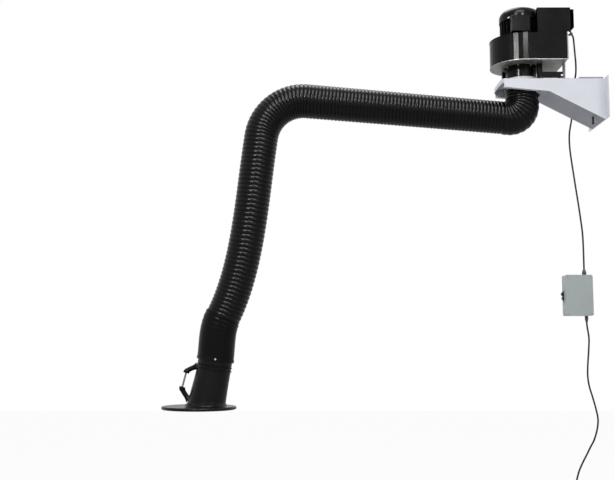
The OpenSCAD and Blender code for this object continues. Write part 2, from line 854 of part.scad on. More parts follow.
module friction_discs(p) {
    color("saddlebrown") for (y = [-eye_half - disc_t, eye_half]) difference() {
        across(p, eye_r, y, y + disc_t);
        across(p, pin_r + gap, y - over, y + disc_t + over);
    }
}

// A band clamp with its screw housing on the viewer's side
module band_clamp(r) {
    tube(r + clamp_t, r, clamp_w);
    translate([-clamp_w / 2, -r - clamp_t - clamp_w / 2, 0])
        cube([clamp_w, clamp_w / 2 + clamp_t / 2, clamp_w]);
}

module top_clamp() {
    color("silver") translate([swivel_x, 0, hose_top_z - clamp_w - hook_r])
        band_clamp(hose_crest_r + seat);
}

// The hose's top, its straight stretch and then the fold of the shoulder
module hose_shoulder() {
    down = hose_top_z - fold_z;
    straight = 2 * round(down / rib_pitch);
    folds = 2 * round(fold_turn * PI / 180 * fold_centre_r / rib_pitch);
    rings = straight + folds;
    function at(k, r) = k <= straight
        ? ring([swivel_x, hose_top_z - down * k / straight], -90, r, r, hose_sides)
        : let (t = (k - straight) / folds, a = -fold_turn * t,
               b = fold_bulge * sin(180 * t) / 2)
          ring(fold_c + (fold_centre_r + b) * [cos(a), sin(a)], a - 90, r + b, r, hose_sides);
    color("#1c1c1e") pipe([for (k = [0 : rings]) at(k, rib_r(k, rings))],
        [for (k = [0 : bore_rings]) at(k * rings / bore_rings, hose_bore_r)], hose_sides);
}

module hose_inner() {
    rings = 2 * round(inner_len / rib_pitch);
    function at(k, r) = ring(inner_start + (gap + (inner_len - gap) * k / rings) * inner_dir,
        inner_heading, r, r, hose_sides);
    color("#1c1c1e") pipe(
        [for (k = [0 : rings]) at(k, rib_r(k, rings) + hose_spread * k / rings)],
        [at(0, hose_bore_r), at(rings, hose_bore_r + hose_spread)], hose_sides);
}

module hose_elbow() {
    rings = 2 * round(elbow_turn * PI / 180 * elbow_r / rib_pitch);
    function at(k, r) = let (a = 90 - inner_rise + elbow_turn * k / rings)
        ring(elbow_c + elbow_r * [cos(a), sin(a)], a + 90, r, r, hose_sides);
    color("#1c1c1e") pipe([for (k = [0 : rings]) at(k, rib_r(k, rings) + hose_spread)],
        [for (k = [0 : bore_rings]) at(k * rings / bore_rings, hose_bore_r + hose_spread)], hose_sides);
}

module hose_outer() {
    rings = 2 * round(norm([outer_run, outer_drop]) / hang_pitch);
    function at(k, r) = ring(bez(outer_path, k / rings), heading(slope(outer_path, k / rings)),
        r, r, hose_sides);
    color("#1c1c1e") pipe([for (k = [0 : rings]) at(k, rib_r(k, rings) + hose_spread)],
        [for (k = [0 : bore_rings]) at(k * rings / bore_rings, hose_bore_r + hose_spread)], hose_sides);
}

// A link between two pivots: a box tube with an eye at its start, and a fork or an eye at its end
module link(p, q, forked) {
    span = norm(q - p);
    half_h = link_h / 2;
    lap = eye_r / 2;
    far = forked ? span - fork_root : span - lap;
    color("dimgray") translate([p[0], 0, p[1]]) rotate([0, -heading(q - p), 0]) difference() {
        union() {
            translate([lap, -link_w / 2, -half_h]) cube([far - lap, link_w, link_h]);
            across([0, 0], eye_r, -eye_half, eye_half);
            if (forked) {
                translate([far - root_len, -cheek_out, -half_h]) cube([root_len, 2 * cheek_out, link_h]);
                for (y = [-cheek_out, cheek_in]) {
                    translate([far - over, y, -half_h]) cube([span - far + over, cheek_t, link_h]);
                    across([span, 0], eye_r, y, y + cheek_t);
                }
            } else across([span, 0], eye_r, -eye_half, eye_half);
        }
        across([0, 0], pin_r + run, -eye_half - over, eye_half + over);
        across([span, 0], pin_r + run, -cheek_out - over, cheek_out + over);
        translate([2 * eye_r, link_wall - link_w / 2, link_wall - half_h])
            cube([far - 3 * eye_r - root_len, link_w - 2 * link_wall, link_h - 2 * link_wall]);
    }
}

module inner_link() {
    link(shoulder, elbow, true);
}

module outer_link() {
    link(elbow, hood_pivot, false);
}

module shoulder_discs() {
    friction_discs(shoulder);
}

module elbow_discs() {
    friction_discs(elbow);
}

module elbow_pin() {
    pivot_pin(elbow, cheek_out + seat);
}

module hood_pin() {
    pivot_pin(hood_pivot, knuckle_out + seat);
}

// Anything drawn inside stands on the hood's pivot with Z up the neck
module on_neck() {
    translate([hood_pivot[0], 0, hood_pivot[1]]) rotate([0, neck_lean, 0]) children();
}

module sleeve() {
    sides = 28;
    steps = 6;
    lap = 24;
    top_dir = [sin(outer_end_lean), cos(outer_end_lean)];
    foot = hood_pivot + collar_show * neck_dir;
    pull = 70;
    lip_wall = 1.8;
    lip_r = (hose_crest_r + hose_spread + 4 * gap) / cos(180 / sides) + lip_wall;
    path = [outer_end + lap * top_dir, outer_end + (lap - pull) * top_dir, foot - pull * neck_dir, foot];
    function at(k, r) = ring(bez(path, k / steps), heading(slope(path, k / steps)), r, r, sides);
    function grow(k) = min(1, max(0, (k - 1) / 2));
    function outer_r(k) = lip_r + (sleeve_r - lip_r) * grow(k);
    function wall(k) = lip_wall + (sleeve_wall - lip_wall) * grow(k);
    color("#1a1a1a") pipe([for (k = [0 : steps]) at(k, outer_r(k))],
        [for (k = [0 : steps]) at(k, outer_r(k) - wall(k))], sides);
}

// Three spokes and a hub on the neck's stem
module spokes(s, reach) {
    translate([0, 0, -s - hub_len]) difference() {
        union() {
            cylinder(r = hub_r, h = hub_len);
            for (a = [90, 210, 330]) rotate([0, 0, a]) translate([pin_r / 2, -spoke_w / 2, over])
                cube([reach - pin_r / 2, spoke_w, hub_len - 2 * over]);
        }
        translate([0, 0, -over]) cylinder(r = pin_r + run, h = hub_len + 2 * over);
    }
}

module hood_knuckle() {
    root = eye_r + 12;
    color("dimgray") on_neck() {
        difference() {
            union() {
                for (y = [-knuckle_out, knuckle_in]) {
                    across([0, 0], eye_r, y, y + cheek_t);
                    translate([-eye_r, y, -root]) cube([2 * eye_r, cheek_t, root]);
                }
                translate([-eye_r, -knuckle_out, -root - cheek_t])
                    cube([2 * eye_r, 2 * knuckle_out, cheek_t]);
            }
            across([0, 0], pin_r + run, -knuckle_out - over, knuckle_out + over);
        }
        translate([0, 0, -stem_foot]) cylinder(r = pin_r, h = stem_foot - root);
        translate([0, 0, -stem_foot]) cylinder(r = head_r, h = head_t, $fn = 6);
    }
}

module neck_collar() {
    color("black") on_neck() {
        translate([0, 0, -collar_foot]) tube(neck_r, neck_bore_r, collar_foot - collar_top);
        spokes(collar_hub_s, neck_bore_r + over);
    }
}

module sleeve_clamp() {
    color("silver") on_neck() translate([0, 0, clamp_t - collar_show]) band_clamp(sleeve_r + 3 * gap);
}

// The hood: rings from the leaning neck to the level mouth
hood_shares = [[0, 0, 0.99], [0.3, 0.3, 1.02], [0.6, 0.6, 1.06], [0.9, 0.9, 1.11]];
function hood_ring(share, r) = let (t = share[0],
    c = [neck_end[0] + share[1] * (mouth_c[0] - neck_end[0]),
         neck_end[1] + t * (mouth_c[1] - neck_end[1])])
    ring(c, -90 - neck_lean * (1 - t), r, r, hood_sides);
function hood_rings(grow) = concat(
    [for (s = hood_shares) hood_ring(s, neck_r * s[2] + grow)],
    [hood_ring([1, 1], mouth_r + grow)]);

arm_in = 4.5;
arm_rise = 21;
arm_out = 53;
arm_drop = 20;
rod_out = 25;
rod_drop = 96;
foot_in = 39;
foot_drop = 52;
arm_top = neck_end + [arm_in - neck_r, arm_rise];
rod_top = arm_top + [-arm_out, -arm_drop];
rod_foot = rod_top + [-rod_out, -rod_drop];
arm_foot = rod_foot + [foot_in, -foot_drop];
socket = 10;

module handle_arm(root, end, along) {
    rod(root, end, handle_arm_r);
    translate([end[0], 0, end[1]]) sphere(r = handle_arm_r + over, $fn = 32);
    rod(end, end + along * socket, handle_arm_r);
}

module hood_body() {
    along = (rod_foot - rod_top) / norm(rod_foot - rod_top);
    color("#2a2a2c") difference() {
        union() {
            on_neck() translate([0, 0, -neck_foot - over])
                cylinder(r = neck_r, h = neck_foot - neck_top + over);
            pipe(hood_rings(0), hood_rings(-hood_wall), hood_sides);
            translate([mouth_c[0] - rim_shift, 0, rim_z]) rotate_extrude($fn = 96) {
                square([rim_r - rim_t / 2, rim_t]);
                translate([rim_r - rim_t / 2, rim_t / 2]) intersection() {
                    circle(d = rim_t, $fn = 32);
                    translate([0, -rim_t]) square([rim_t, 2 * rim_t]);
                }
            }
            handle_arm(arm_top, rod_top, along);
            handle_arm(arm_foot, rod_foot, -along);
        }
        on_neck() translate([0, 0, -neck_foot - 2 * over])
            cylinder(r = neck_bore_r, h = neck_foot - neck_top + 3 * over);
        translate([mouth_c[0], 0, rim_z - over])
            cylinder(r = mouth_r - hood_wall - over, h = rim_t + 2 * over);
        rod(rod_top, rod_foot, handle_rod_r + run);
    }
}

module hood_spider() {
    color("dimgray") on_neck() spokes(spider_hub_s, neck_bore_r - seat);
}

module handle_rod() {
    color("white") rod(rod_top + run * (rod_foot - rod_top), rod_foot, handle_rod_r);
}

// The leads and the control box
function catmull(a, b, c, d, t) = ((2 * b) + (c - a) * t + (2 * a - 5 * b + 4 * c - d) * t * t
    + (3 * b - a - 3 * c + d) * t * t * t) / 2;
function on_route(p, u) = let (n = len(p) - 1, i = min(floor(u * n), n - 1), t = u * n - i)
    catmull(p[max(i - 1, 0)], p[i], p[i + 1], p[min(i + 2, n)], t);
function unit(v) = v / norm(v);

module lead(route) {
    function at(k) = let (u = k / lead_rings, p = on_route(route, u),
        d = unit(on_route(route, min(u + lead_step, 1)) - on_route(route, max(u - lead_step, 0))),
        e = unit(cross([0, 1, 0], d)), f = cross(d, e))
        [for (i = [0 : lead_sides - 1]) let (a = 360 * i / lead_sides)
            p + lead_d / 2 * (cos(a) * e + sin(a) * f)];
    points = [for (k = [0 : lead_rings]) each at(k)];
    last = lead_rings * lead_sides;
    faces = concat(
        [for (k = [0 : lead_rings - 1]) each band(k * lead_sides, (k + 1) * lead_sides, lead_sides, false)],
        [[for (i = [0 : lead_sides - 1]) lead_sides - 1 - i]],
        [[for (i = [0 : lead_sides - 1]) last + i]]);
    color("#303030") polyhedron(points, faces, convexity = 10);
}

module upper_lead() {
    lead(upper_route);
}

module lower_lead() {
    lead(lower_route);
}

function rounded(x, z, w, h, r) = [for (c = [[x + w - r, z + h - r, 0], [x + r, z + h - r, 90],
    [x + r, z + r, 180], [x + w - r, z + r, 270]], k = [0 : corner_steps])
    let (a = c[2] + 90 * k / corner_steps) [c[0] + r * cos(a), c[1] + r * sin(a)]];

module control_box() {
    slot_h = rocker_len + 2 * rocker_play;
    slot_w = rocker_w + rocker_play;
    bezel_h = slot_h + 2 * bezel_w;
    color("#a0a8a8") difference() {
        union() {
            side_sheet(rounded(box_x - box_w, box_top - box_h, box_w, box_h, corner_r),
                box_y, box_y + box_base_d);
            translate([box_x - box_w - box_wall, lead_y - slot_w / 2 - bezel_w, rocker_z - bezel_h / 2])
                cube([2 * box_wall, slot_w + 2 * bezel_w, bezel_h]);
        }
        side_sheet(rounded(box_x - box_w + box_wall, box_top - box_h + box_wall, box_w - 2 * box_wall,
            box_h - 2 * box_wall, corner_r - box_wall), box_y - over, box_y + box_base_d - box_wall);
        translate([box_x - box_w - box_wall - over, lead_y - slot_w / 2, rocker_z - slot_h / 2])
            cube([2 * box_wall + 2 * over, slot_w, slot_h]);
        translate([box_x - box_w, lead_y, rocker_z]) rotate([90, 0, 0])
            cylinder(r = rocker_pin_r + run, h = slot_w + bezel_w, center = true, $fn = 32);
    }
}

module control_lid() {
    color("#a6aeae") {
        side_sheet(rounded(box_x - box_w, box_top - box_h, box_w, box_h, corner_r),
            box_y - box_lid_d, box_y);
        for (k = [0 : 2]) translate([box_x - boss_in, box_y - box_lid_d,
            box_top - box_h + box_h * (boss_low_share + boss_step_share * k)])
            rotate([90, 0, 0]) cylinder(r = boss_r, h = over, $fn = 48);
    }
}

module box_glands() {
    cone_h = 16;
    color("dimgray") translate([gland_x, lead_y, box_top]) difference() {
        union() {
            cylinder(r = top_gland_r, h = cone_h, $fn = 32);
            translate([0, 0, cone_h]) cylinder(r1 = top_gland_r, r2 = lead_d / 2 + over, h = cone_h);
        }
        translate([0, 0, -over]) cylinder(r = lead_d / 2 + seat, h = 2 * cone_h + 2 * over);
    }
    color("black") translate([low_gland_x, lead_y, box_top - box_h - 2 * cone_h]) difference() {
        union() {
            translate([0, 0, cone_h]) cylinder(r = gland_r, h = cone_h, $fn = 32);
            cylinder(r2 = gland_r, r1 = lead_d / 2 + over, h = cone_h);
        }
        translate([0, 0, -over]) cylinder(r = lead_d / 2 + seat, h = 2 * cone_h + 2 * over);
    }
}

module box_rocker() {
    face_x = box_x - box_w;
    lobe_r = rocker_len / 4;
    color("black") translate([face_x, lead_y, rocker_z]) rotate([0, -rocker_tilt, 0]) {
        for (s = [-1, 1]) translate([0, -rocker_w / 2, s * (lobe_r - over)]) rotate([-90, 0, 0])
            cylinder(r = lobe_r, h = rocker_w, $fn = 32);
        translate([-lobe_r / 2, -rocker_w / 2, -lobe_r])
            cube([lobe_r / 2 + rocker_depth, rocker_w, 2 * lobe_r]);
        rotate([90, 0, 0]) cylinder(r = rocker_pin_r, h = rocker_w + bezel_w, center = true, $fn = 32);
    }
}

module mains_plug() {
    end = lower_route[len(lower_route) - 1];
    pin_w = 6;
    pin_l = 18;
    color("#303030") translate([end[0], end[1], end[2] - plug_len]) {
        translate([0, 0, plug_len / 2]) cylinder(r1 = plug_r, r2 = lead_d, h = plug_len / 2, $fn = 32);
        cylinder(r = plug_r, h = plug_len / 2, $fn = 32);
        for (a = [90, 210, 330]) rotate([0, 0, a]) translate([plug_r / 2, -pin_w / 2, -pin_l])
            cube([pin_w / 3, pin_w, pin_l + over]);
    }
}

wall_plate();
side_panel_front();
side_panel_back();
slanted_bottom();
deck_plate();
deck_collar();
slip_ring();
top_cover();
cable_hook();
fan_spigot();
scroll_wrap();
scroll_bottom();
scroll_top();
outlet_flange();
outlet_foot();
foot_rails();
rubber_feet();
motor_frame();
stator_core();
drive_shield();
rear_shield();
motor_bearings();
fan_cowl();
terminal_box();
terminal_lid();
starter_box();
starter_lid();
starter_gland();
motor_shaft();
rotor_core();
impeller();
cooling_fan();
swivel_tube();
shoulder_yoke();
shoulder_pin();
top_clamp();
hose_shoulder();
inner_link();
shoulder_discs();
hose_inner();
elbow_pin();
elbow_discs();
outer_link();
hose_elbow();
hose_outer();
hood_pin();
sleeve();
hood_knuckle();
neck_collar();
sleeve_clamp();
hood_body();
hood_spider();
handle_rod();
upper_lead();
lower_lead();
control_box();
control_lid();
box_glands();
box_rocker();
mains_plug();
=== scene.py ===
"""Looks of the wall-mounted fume extraction arm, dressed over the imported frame."""
import math

import bpy
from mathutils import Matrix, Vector


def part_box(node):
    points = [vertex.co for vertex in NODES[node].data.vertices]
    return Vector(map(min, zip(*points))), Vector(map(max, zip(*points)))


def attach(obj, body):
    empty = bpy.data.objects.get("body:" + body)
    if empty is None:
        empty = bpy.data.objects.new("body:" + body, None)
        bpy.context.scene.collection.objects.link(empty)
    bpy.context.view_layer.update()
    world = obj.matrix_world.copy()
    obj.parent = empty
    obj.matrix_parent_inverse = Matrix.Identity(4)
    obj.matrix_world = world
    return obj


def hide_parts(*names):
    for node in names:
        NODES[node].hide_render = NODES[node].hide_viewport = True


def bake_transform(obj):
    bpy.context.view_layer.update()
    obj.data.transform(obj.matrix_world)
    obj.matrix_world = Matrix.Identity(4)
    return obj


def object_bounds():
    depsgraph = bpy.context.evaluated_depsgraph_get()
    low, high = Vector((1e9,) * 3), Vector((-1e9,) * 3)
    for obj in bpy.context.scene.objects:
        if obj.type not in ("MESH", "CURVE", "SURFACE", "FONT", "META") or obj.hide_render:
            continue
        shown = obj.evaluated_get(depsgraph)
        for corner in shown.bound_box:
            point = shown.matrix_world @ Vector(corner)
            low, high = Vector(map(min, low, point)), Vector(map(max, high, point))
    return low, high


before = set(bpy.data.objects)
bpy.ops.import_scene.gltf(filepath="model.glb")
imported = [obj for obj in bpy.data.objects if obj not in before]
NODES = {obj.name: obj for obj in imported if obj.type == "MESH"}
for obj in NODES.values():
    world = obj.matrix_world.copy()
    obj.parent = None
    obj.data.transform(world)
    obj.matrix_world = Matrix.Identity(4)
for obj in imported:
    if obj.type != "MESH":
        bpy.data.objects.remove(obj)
cad_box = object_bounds()

# Driving sizes in metres and degrees, as in the CAD source
SWIVEL_X = -0.398
SHOULDER_Z = -0.0665
HOSE_TOP_Z = 0.104
GAP = 0.0003
HOSE_CREST = 0.084
HOSE_VALLEY = 0.0808
HOSE_BORE = 0.0792
HOSE_SPREAD = 0.004
RIB_PITCH = 0.0184
HANG_PITCH = 0.022
FOLD_R = 0.012
FOLD_BULGE = 0.018
INNER_RISE = 4.94
INNER_LEN = 1.010
ELBOW_R = 0.218
OUTER_LEAN = 8.6
OUTER_RUN = 0.200
OUTER_DROP = 0.948
OUTER_END_LEAN = 28
END_PULL_SHARE = 0.94
HOOD_PIVOT_RUN = 0.009
HOOD_PIVOT_DROP = 0.087
NECK_LEAN = 8.5
NECK_R = 0.086
NECK_TOP = 0.133
NECK_FOOT = 0.159
COLLAR_SHOW = 0.111
HOOD_WALL = 0.0035
HOOD_H = 0.217
HOOD_SHIFT = 0.037
MOUTH_R = 0.103
RIM_R = 0.187
RIM_T = 0.016
RIM_SHIFT = 0.034
SLEEVE_R = 0.092
SLEEVE_WALL = 0.0035
SLEEVE_LAP = 0.024
SLEEVE_PULL = 0.070
SLEEVE_LIP_WALL = 0.0018
CAD_HOSE_SIDES = 28
SLEEVE_LIP_BORE = (HOSE_CREST + HOSE_SPREAD + 4 * GAP) / math.cos(math.pi / CAD_HOSE_SIDES)
SLEEVE_LIP_R = SLEEVE_LIP_BORE + SLEEVE_LIP_WALL
HANDLE_ARM_R = 0.0125
LEAD_D = 0.009


# Plane vectors (x, z) of the arm's plane
def add(p, q, k=1.0):
    return (p[0] + k * q[0], p[1] + k * q[1])


def unit(degrees):
    return (math.cos(math.radians(degrees)), math.sin(math.radians(degrees)))


def bezier(p, t):
    s = 1 - t
    w = (s ** 3, 3 * t * s * s, 3 * t * t * s, t ** 3)
    return tuple(sum(w[k] * p[k][i] for k in range(4)) for i in range(2))


def bezier_slope(p, t):
    s = 1 - t
    w = (s * s, 2 * t * s, t * t)
    d = [sum(w[k] * (p[k + 1][i] - p[k][i]) for k in range(3)) for i in range(2)]
    return math.degrees(math.atan2(d[1], d[0]))


inner_heading = 180 - INNER_RISE
inner_dir = unit(inner_heading)
inner_up = (math.sin(math.radians(INNER_RISE)), math.cos(math.radians(INNER_RISE)))
fold_turn = 90 + INNER_RISE
fold_centre_r = HOSE_CREST + FOLD_R
fold_c = (SWIVEL_X - fold_centre_r,
          SHOULDER_Z + fold_centre_r * (1 + inner_up[0]) / inner_up[1])
inner_start = add(fold_c, inner_up, -fold_centre_r)
inner_end = add(inner_start, inner_dir, INNER_LEN)
elbow_c = add(inner_end, inner_up, -ELBOW_R)
elbow_turn = 90 - OUTER_LEAN + INNER_RISE
outer_back = (math.sin(math.radians(OUTER_LEAN)), math.cos(math.radians(OUTER_LEAN)))
end_back = (math.sin(math.radians(OUTER_END_LEAN)), math.cos(math.radians(OUTER_END_LEAN)))
outer_start = add(elbow_c, (-outer_back[1], outer_back[0]), ELBOW_R)
outer_end = add(outer_start, (-OUTER_RUN, -OUTER_DROP))
outer_pull = OUTER_DROP / 3
outer_path = [add(outer_start, outer_back, -GAP), add(outer_start, outer_back, -outer_pull),
              add(outer_end, end_back, END_PULL_SHARE * outer_pull), outer_end]
hood_pivot = add(outer_end, (-HOOD_PIVOT_RUN, -HOOD_PIVOT_DROP))
neck_dir = unit(-90 - NECK_LEAN)
neck_end = add(hood_pivot, neck_dir, NECK_FOOT)
rim_z = hood_pivot[1] - NECK_TOP - HOOD_H
mouth_c = (neck_end[0] - HOOD_SHIFT, rim_z + RIM_T / 2)

# Mesh helpers
EDGE_SEGMENTS = 2
EDGE_ANGLE = 40


def mesh_object(name, points, faces):
    mesh = bpy.data.meshes.new(name)
    mesh.from_pydata(points, [], faces)
    mesh.update()
    mesh.shade_smooth()
    piece = bpy.data.objects.new(name, mesh)
    bpy.context.scene.collection.objects.link(piece)
    return piece


def ring(centre, heading, r, sides, r_y=None):
    """Points round a centre in the arm's plane, square to the heading."""
    head = math.radians(heading)
    r_y = r if r_y is None else r_y
    turn = 2 * math.pi / sides
    return [(centre[0] - r * math.cos(i * turn) * math.sin(head), r_y * math.sin(i * turn),
             centre[1] + r * math.cos(i * turn) * math.cos(head)) for i in range(sides)]


def loft(name, rings, closed=False, caps=False):
    """Quads between neighbouring rings of equal length."""
    sides = len(rings[0])
    count = len(rings)
    points = [p for r in rings for p in r]
    faces = []
    for k in range(count if closed else count - 1):
        a, b = k * sides, (k + 1) % count * sides
        faces += [(a + i, a + (i + 1) % sides, b + (i + 1) % sides, b + i) for i in range(sides)]
    if caps:
        faces += [tuple(range(sides))[::-1], tuple(range((count - 1) * sides, count * sides))]
    return mesh_object(name, points, faces)


def cylinder(name, start, end, r, sides=32, bevel=0.0):
    """A rod between two points in space, with its end edges cut back by the bevel."""
    a, b = Vector(start), Vector(end)
    d = (b - a).normalized()
    e = d.orthogonal().normalized()
    f = d.cross(e)

    def circle(c, radius):
        return [tuple(c + radius * (math.cos(t) * e + math.sin(t) * f))
                for t in (2 * math.pi * i / sides for i in range(sides))]

    stations = [(a, r), (b, r)]
    if bevel:
        stations = [(a, r - bevel), (a + bevel * d, r), (b - bevel * d, r), (b, r - bevel)]
    piece = loft(name, [circle(c, radius) for c, radius in stations], caps=True)
    soften(piece)
    return piece


def soften(piece, degrees=35):
    """Smooth shading that keeps edges sharper than the angle."""
    piece.data.shade_smooth()
    piece.data.set_sharp_from_angle(angle=math.radians(degrees))


def round_edges(piece, width):
    """Rounds the edges that are sharper than the angle."""
    bevel = piece.modifiers.new("Edges", "BEVEL")
    bevel.width = width
    bevel.segments = EDGE_SEGMENTS
    bevel.limit_method = "ANGLE"
    bevel.angle_limit = math.radians(EDGE_ANGLE)


# Materials
COAT_ROUGH = 0.12
BLOTCH_DETAIL = 6
GRAIN_DETAIL = 3
GRAIN_DEPTH = 0.0004
TINT_ENDS = (0.3, 0.7)
LEAST_ROUGH = 0.02


def surface(name, color, rough, metallic=0.0, vary=0.12, grain=600.0, bump=0.08, blotch=9.0,
            rough_vary=0.08, coat=0.0, stretch=(1, 1, 1), cells=0.0, specular=0.5):
    """A procedural finish: blotchy colour and roughness, and a fine grain in the bump."""
    material = bpy.data.materials.new(name)
    material.use_nodes = True
    tree = material.node_tree
    links = tree.links
    shader = tree.nodes["Principled BSDF"]
    shader.inputs["Metallic"].default_value = metallic
    shader.inputs["Coat Weight"].default_value = coat
    shader.inputs["Specular IOR Level"].default_value = specular
    shader.inputs["Coat Roughness"].default_value = COAT_ROUGH
    place = tree.nodes.new("ShaderNodeTexCoord")
    scaled = tree.nodes.new("ShaderNodeMapping")
    scaled.inputs["Scale"].default_value = stretch
    links.new(place.outputs["Object"], scaled.inputs["Vector"])
    large = tree.nodes.new("ShaderNodeTexNoise")
    large.inputs["Scale"].default_value = blotch
    large.inputs["Detail"].default_value = BLOTCH_DETAIL
    links.new(scaled.outputs["Vector"], large.inputs["Vector"])
    tint = tree.nodes.new("ShaderNodeValToRGB")
    for stop, position, share in zip(tint.color_ramp.elements, TINT_ENDS, (1 - vary, 1 + vary)):
        stop.position = position
        stop.color = [min(1, c * share) for c in color] + [1]
    source = large.outputs["Fac"]
    if cells:
        spangle = tree.nodes.new("ShaderNodeTexVoronoi")
        spangle.inputs["Scale"].default_value = cells
        links.new(scaled.outputs["Vector"], spangle.inputs["Vector"])
        grey = tree.nodes.new("ShaderNodeRGBToBW")
        links.new(spangle.outputs["Color"], grey.inputs["Color"])
        source = grey.outputs["Val"]
    links.new(source, tint.inputs["Fac"])
    links.new(tint.outputs["Color"], shader.inputs["Base Color"])
    spread = tree.nodes.new("ShaderNodeMapRange")
    spread.inputs["To Min"].default_value = max(LEAST_ROUGH, rough - rough_vary)
    spread.inputs["To Max"].default_value = min(1, rough + rough_vary)
    links.new(source, spread.inputs["Value"])
    links.new(spread.outputs["Result"], shader.inputs["Roughness"])
    fine = tree.nodes.new("ShaderNodeTexNoise")
    fine.inputs["Scale"].default_value = grain
    fine.inputs["Detail"].default_value = GRAIN_DETAIL
    links.new(scaled.outputs["Vector"], fine.inputs["Vector"])
    relief = tree.nodes.new("ShaderNodeBump")
    relief.inputs["Strength"].default_value = bump
    relief.inputs["Distance"].default_value = GRAIN_DEPTH
    links.new(fine.outputs["Fac"], relief.inputs["Height"])
    links.new(relief.outputs["Normal"], shader.inputs["Normal"])
    return material


LOOKS = {
    "bracket_white": dict(color=(0.70, 0.72, 0.78), rough=0.38, vary=0.03, bump=0.10, grain=900),
    # Painted shade: a darker copy of the bracket paint, for the bracket faces that lie in shade
    "bracket_grey": dict(color=(0.24, 0.25, 0.29), rough=0.45, vary=0.06, bump=0.10, grain=900),
    "collar_grey": dict(color=(0.62, 0.63, 0.65), rough=0.40, vary=0.04, grain=900),
    "galvanised": dict(color=(0.32, 0.32, 0.30), rough=0.45, metallic=0.85, vary=0.22, cells=70,
                       bump=0.05),
    "fan_black": dict(color=(0.0035, 0.0036, 0.0035), rough=0.20, vary=0.25, bump=0.06, grain=700,
                      specular=0.10),
    "rubber": dict(color=(0.020, 0.020, 0.020), rough=0.75, vary=0.2, bump=0.2, grain=500),
    "hose_black": dict(color=(0.0018, 0.0019, 0.0019), rough=0.24, vary=0.3, bump=0.10, grain=420,
                       blotch=24, rough_vary=0.05, specular=0.13),
    "sleeve_black": dict(color=(0.0024, 0.0025, 0.0026), rough=0.30, vary=0.2, bump=0.12,
                         grain=380, specular=0.08),
    "hood_black": dict(color=(0.0040, 0.0042, 0.0041), rough=0.30, vary=0.2, bump=0.12, grain=800,
                       specular=0.12),
    "steel": dict(color=(0.55, 0.55, 0.56), rough=0.28, metallic=1.0, vary=0.08,
                  stretch=(1, 1, 8), bump=0.05),
    "frame_steel": dict(color=(0.10, 0.10, 0.11), rough=0.45, vary=0.15, bump=0.12),
    "slip_plastic": dict(color=(0.75, 0.73, 0.66), rough=0.45, vary=0.04),
    "disc_lining": dict(color=(0.20, 0.13, 0.08), rough=0.8, vary=0.3, bump=0.3, grain=900),
    "handle_white": dict(color=(0.26, 0.26, 0.26), rough=0.22, vary=0.05, coat=0.2),
    "box_grey": dict(color=(0.36, 0.40, 0.40), rough=0.48, vary=0.05, bump=0.25, grain=1100),
    "gland_grey": dict(color=(0.070, 0.073, 0.072), rough=0.45, vary=0.1, specular=0.3),
    "lead_black": dict(color=(0.010, 0.010, 0.010), rough=0.40, vary=0.15, bump=0.10, grain=900,
                       specular=0.2),
    "switch_black": dict(color=(0.003, 0.003, 0.003), rough=0.25, vary=0.2, specular=0.15),
}
MATERIALS = {slot: surface(slot, **look) for slot, look in LOOKS.items()}


def paint(piece, slot):
    piece.data.materials.clear()
    piece.data.materials.append(MATERIALS[slot])


def add_piece(piece, body, slot):
    """Rides the piece on its body with its slot and material."""
    paint(piece, slot)
    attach(piece, body)


# Camera: the photograph's eye
CAMERA_PLACE = (-1.508, -4.8, -1.2209)
CAMERA_PITCH = 6.3
CAMERA_LENS = 55.70
CAMERA_SENSOR = 36
camera_data = bpy.data.cameras.new("camera")
camera_data.lens = CAMERA_LENS
camera_data.sensor_width = CAMERA_SENSOR
camera = bpy.data.objects.new("camera", camera_data)
camera.location = CAMERA_PLACE
camera.rotation_euler = (math.radians(90 + CAMERA_PITCH), 0, 0)
bpy.context.scene.collection.objects.link(camera)
bpy.context.scene.camera = camera

# Leads: the same points as in the CAD source, in millimetres
MM = 0.001
LEAD_STEPS = 120
UPPER_ROUTE = [(-154, -56, 375.5), (-146, -56, 367.5), (-140.5, -56, 357), (-137.5, -56, 344),
               (-136.5, -57, 328), (-135, -58, 298), (-133, -59, 260), (-131, -60, 225),
               (-130, -58, 194), (-129.5, -51, 165), (-130, -36, 141.5), (-130.5, -12, 127.5),
               (-131, 20, 125), (-131, 55, 126), (-131, 78, 130.5), (-130.5, 94, 132.5),
               (-130, 111, 129), (-129, 125, 118), (-127, 131.5, 102), (-122, 132, 70),
               (-114, 132, 20), (-106, 132, -27), (-119, 132, -99), (-122, 132, -154),
               (-118, 132, -220), (-105, 132, -329), (-94, 132, -416), (-83, 132, -502),
               (-75, 132, -571), (-68, 132, -642), (-66, 132, -726), (-66, 132, -790),
               (-66, 132, -850)]
LOWER_ROUTE = [(-61, 132, -1085), (-61, 132, -1104), (-59, 132, -1129), (-52, 132, -1185),
               (-55, 132, -1245), (-63, 132, -1333), (-64, 132, -1388), (-57, 132, -1437),
               (-43, 132, -1487), (-27, 132, -1550), (-19, 132, -1600), (-25, 132, -1650),
               (-42, 132, -1703), (-62, 132, -1739), (-81, 132, -1775), (-105, 132, -1819),
               (-124, 132, -1860), (-136, 132, -1900), (-140, 132, -1920), (-140, 132, -1940)]


def on_route(route, share):
    """A point of the smooth curve through the route, as the CAD source draws it."""
    last = len(route) - 1
    i = min(int(share * last), last - 1)
    t = share * last - i
    a, b, c, d = (route[max(i - 1, 0)], route[i], route[i + 1], route[min(i + 2, last)])
    return tuple(0.5 * MM * (2 * b[k] + (c[k] - a[k]) * t
                             + (2 * a[k] - 5 * b[k] + 4 * c[k] - d[k]) * t * t
                             + (3 * b[k] - a[k] - 3 * c[k] + d[k]) * t ** 3) for k in range(3))


